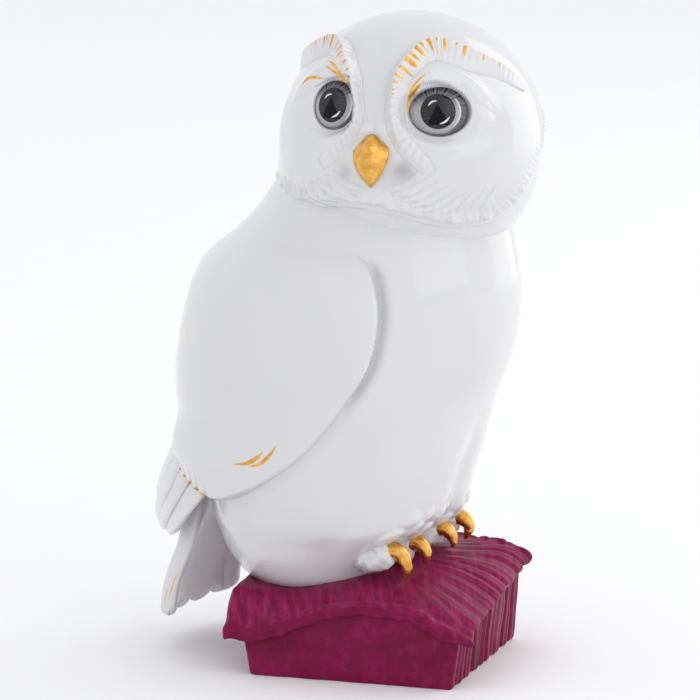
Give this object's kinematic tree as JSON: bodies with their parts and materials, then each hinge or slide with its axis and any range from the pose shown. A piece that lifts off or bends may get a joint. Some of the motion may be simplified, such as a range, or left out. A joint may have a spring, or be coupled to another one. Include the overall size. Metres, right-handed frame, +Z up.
{
  "type": "owl figurine",
  "caption": "Hollow glazed porcelain owl with gilded beak, talons and feather tips, perched on a small plum-glazed roof-shaped plinth, looking over its right shoulder.",
  "frame": {"origin": "centre of the plinth's flat underside, on the surface it stands on", "axes": "+Z up; X runs along the plinth's ridge; the owl's breast faces -Y turned 7 degrees towards -X; its head looks along -X"},
  "size_m": [0.1011, 0.1269, 0.2075],
  "materials": {
    "white_glaze": "clear gloss glaze over white porcelain",
    "plum_glaze": "brushed plum colour under a clear gloss glaze",
    "gilding": "burnished gold over glazed porcelain",
    "eye_paint": "painted grey and black under a clear gloss glaze",
    "bisque": "unglazed fired porcelain"
  },
  "bodies": {
    "root": {"plinth_floor": "bisque", "plinth_walls": "plum_glaze", "plinth_roof": "plum_glaze", "torso": "white_glaze", "head": "white_glaze", "right_wing": "white_glaze", "left_wing": "white_glaze", "right_flight_feathers": "white_glaze", "left_flight_feathers": "white_glaze", "tail": "white_glaze", "right_foot": "white_glaze", "left_foot": "white_glaze", "right_outer_talon": "gilding", "right_inner_talon": "gilding", "left_inner_talon": "gilding", "left_outer_talon": "gilding", "beak": "gilding", "right_eye": "eye_paint", "left_eye": "eye_paint", "right_brow": "white_glaze", "left_brow": "white_glaze"}
  },
  "joints": []
}
